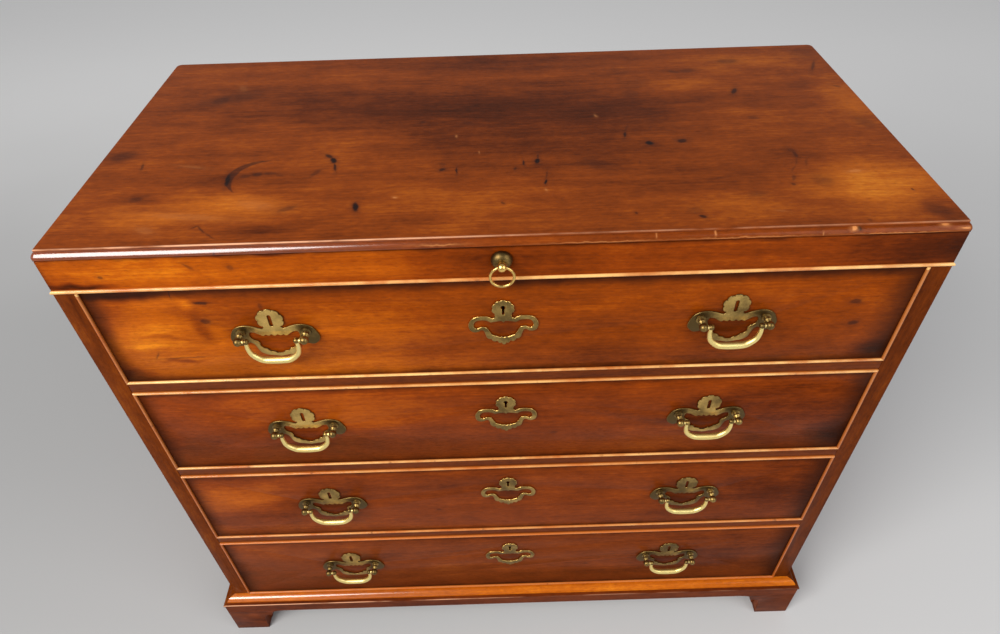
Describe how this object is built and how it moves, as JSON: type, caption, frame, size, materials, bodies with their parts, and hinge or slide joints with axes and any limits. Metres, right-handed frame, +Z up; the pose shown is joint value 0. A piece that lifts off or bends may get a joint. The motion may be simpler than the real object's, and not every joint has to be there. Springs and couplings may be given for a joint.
{
  "type": "bachelors chest",
  "caption": "Mahogany bachelors chest with graduated cockbeaded drawers under a brushing slide, pierced brass swan-neck handles and bracket feet.",
  "frame": {"origin": "on the floor, under the middle of the outline, halfway across and halfway from front to back", "axes": "+Z up, -Y out of the drawer fronts, +X to the right for someone who faces the drawers"},
  "size_m": [0.9554, 0.4622, 0.808],
  "materials": {
    "mahogany": "old polished surface, mottled orange-brown",
    "dark_mahogany": "dark worn polish",
    "bead_wood": "light polished bead",
    "oak": "dry unpolished oak",
    "brass": "lacquered old brass, worn bright on the edges",
    "iron": "dull oiled iron"
  },
  "bodies": {
    "case": {"case_side_left": "mahogany", "case_side_right": "mahogany", "top_board": "mahogany", "top_moulding": "mahogany", "case_bottom": "oak", "back_panel": "oak", "top_rail": "oak", "drawer_divider_1": "dark_mahogany", "drawer_divider_2": "dark_mahogany", "drawer_divider_3": "dark_mahogany", "base_moulding": "mahogany", "foot_front_left": "dark_mahogany", "foot_front_right": "dark_mahogany", "foot_back_left": "dark_mahogany", "foot_back_right": "dark_mahogany"},
    "slide": {"slide_board": "mahogany", "slide_front": "mahogany", "pull_knob": "brass"},
    "pull_ring": {"pull_ring": "brass"},
    "drawer_1": {"drawer_1_front": "mahogany", "drawer_1_cockbead": "bead_wood", "drawer_1_box": "oak", "drawer_1_left_plate": "brass", "drawer_1_right_plate": "brass", "drawer_1_escutcheon": "brass", "drawer_1_lock": "iron"},
    "drawer_1_left_bail": {"drawer_1_left_bail": "brass"},
    "drawer_1_right_bail": {"drawer_1_right_bail": "brass"},
    "drawer_1_lock_bolt": {"drawer_1_lock_bolt": "iron"},
    "drawer_2": {"drawer_2_front": "mahogany", "drawer_2_cockbead": "bead_wood", "drawer_2_box": "oak", "drawer_2_left_plate": "brass", "drawer_2_right_plate": "brass", "drawer_2_escutcheon": "brass", "drawer_2_lock": "iron"},
    "drawer_2_left_bail": {"drawer_2_left_bail": "brass"},
    "drawer_2_right_bail": {"drawer_2_right_bail": "brass"},
    "drawer_2_lock_bolt": {"drawer_2_lock_bolt": "iron"},
    "drawer_3": {"drawer_3_front": "mahogany", "drawer_3_cockbead": "bead_wood", "drawer_3_box": "oak", "drawer_3_left_plate": "brass", "drawer_3_right_plate": "brass", "drawer_3_escutcheon": "brass", "drawer_3_lock": "iron"},
    "drawer_3_left_bail": {"drawer_3_left_bail": "brass"},
    "drawer_3_right_bail": {"drawer_3_right_bail": "brass"},
    "drawer_3_lock_bolt": {"drawer_3_lock_bolt": "iron"},
    "drawer_4": {"drawer_4_front": "mahogany", "drawer_4_cockbead": "bead_wood", "drawer_4_box": "oak", "drawer_4_left_plate": "brass", "drawer_4_right_plate": "brass", "drawer_4_escutcheon": "brass", "drawer_4_lock": "iron"},
    "drawer_4_left_bail": {"drawer_4_left_bail": "brass"},
    "drawer_4_right_bail": {"drawer_4_right_bail": "brass"},
    "drawer_4_lock_bolt": {"drawer_4_lock_bolt": "iron"}
  },
  "joints": [
    {"name": "slide_out", "type": "slide", "parent": "case", "child": "slide", "axis": [0, -1, 0], "range_m": [0, 0.26]},
    {"name": "pull_ring_swing", "type": "hinge", "parent": "slide", "child": "pull_ring", "pos_m": [0, -0.2241, 0.7796], "axis": [-1, 0, 0], "range_deg": [-20, 195]},
    {"name": "drawer_1_slide", "type": "slide", "parent": "case", "child": "drawer_1", "axis": [0, -1, 0], "range_m": [0, 0.34]},
    {"name": "drawer_1_left_bail_swing", "type": "hinge", "parent": "drawer_1", "child": "drawer_1_left_bail", "pos_m": [-0.2485, -0.2263, 0.69101], "axis": [-1, 0, 0], "range_deg": [-17, 195]},
    {"name": "drawer_1_right_bail_swing", "type": "hinge", "parent": "drawer_1", "child": "drawer_1_right_bail", "pos_m": [0.2485, -0.2263, 0.69101], "axis": [-1, 0, 0], "range_deg": [-17, 195]},
    {"name": "drawer_1_lock_bolt_throw", "type": "slide", "parent": "drawer_1", "child": "drawer_1_lock_bolt", "axis": [0, 0, 1], "range_m": [0, 0.007]},
    {"name": "drawer_2_slide", "type": "slide", "parent": "case", "child": "drawer_2", "axis": [0, -1, 0], "range_m": [0, 0.34]},
    {"name": "drawer_2_left_bail_swing", "type": "hinge", "parent": "drawer_2", "child": "drawer_2_left_bail", "pos_m": [-0.2485, -0.2263, 0.53022], "axis": [-1, 0, 0], "range_deg": [-17, 195]},
    {"name": "drawer_2_right_bail_swing", "type": "hinge", "parent": "drawer_2", "child": "drawer_2_right_bail", "pos_m": [0.2485, -0.2263, 0.53022], "axis": [-1, 0, 0], "range_deg": [-17, 195]},
    {"name": "drawer_2_lock_bolt_throw", "type": "slide", "parent": "drawer_2", "child": "drawer_2_lock_bolt", "axis": [0, 0, 1], "range_m": [0, 0.007]},
    {"name": "drawer_3_slide", "type": "slide", "parent": "case", "child": "drawer_3", "axis": [0, -1, 0], "range_m": [0, 0.34]},
    {"name": "drawer_3_left_bail_swing", "type": "hinge", "parent": "drawer_3", "child": "drawer_3_left_bail", "pos_m": [-0.2485, -0.2263, 0.35894], "axis": [-1, 0, 0], "range_deg": [-17, 195]},
    {"name": "drawer_3_right_bail_swing", "type": "hinge", "parent": "drawer_3", "child": "drawer_3_right_bail", "pos_m": [0.2485, -0.2263, 0.35894], "axis": [-1, 0, 0], "range_deg": [-17, 195]},
    {"name": "drawer_3_lock_bolt_throw", "type": "slide", "parent": "drawer_3", "child": "drawer_3_lock_bolt", "axis": [0, 0, 1], "range_m": [0, 0.007]},
    {"name": "drawer_4_slide", "type": "slide", "parent": "case", "child": "drawer_4", "axis": [0, -1, 0], "range_m": [0, 0.34]},
    {"name": "drawer_4_left_bail_swing", "type": "hinge", "parent": "drawer_4", "child": "drawer_4_left_bail", "pos_m": [-0.2485, -0.2263, 0.18287], "axis": [-1, 0, 0], "range_deg": [-17, 195]},
    {"name": "drawer_4_right_bail_swing", "type": "hinge", "parent": "drawer_4", "child": "drawer_4_right_bail", "pos_m": [0.2485, -0.2263, 0.18287], "axis": [-1, 0, 0], "range_deg": [-17, 195]},
    {"name": "drawer_4_lock_bolt_throw", "type": "slide", "parent": "drawer_4", "child": "drawer_4_lock_bolt", "axis": [0, 0, 1], "range_m": [0, 0.007]}
  ]
}
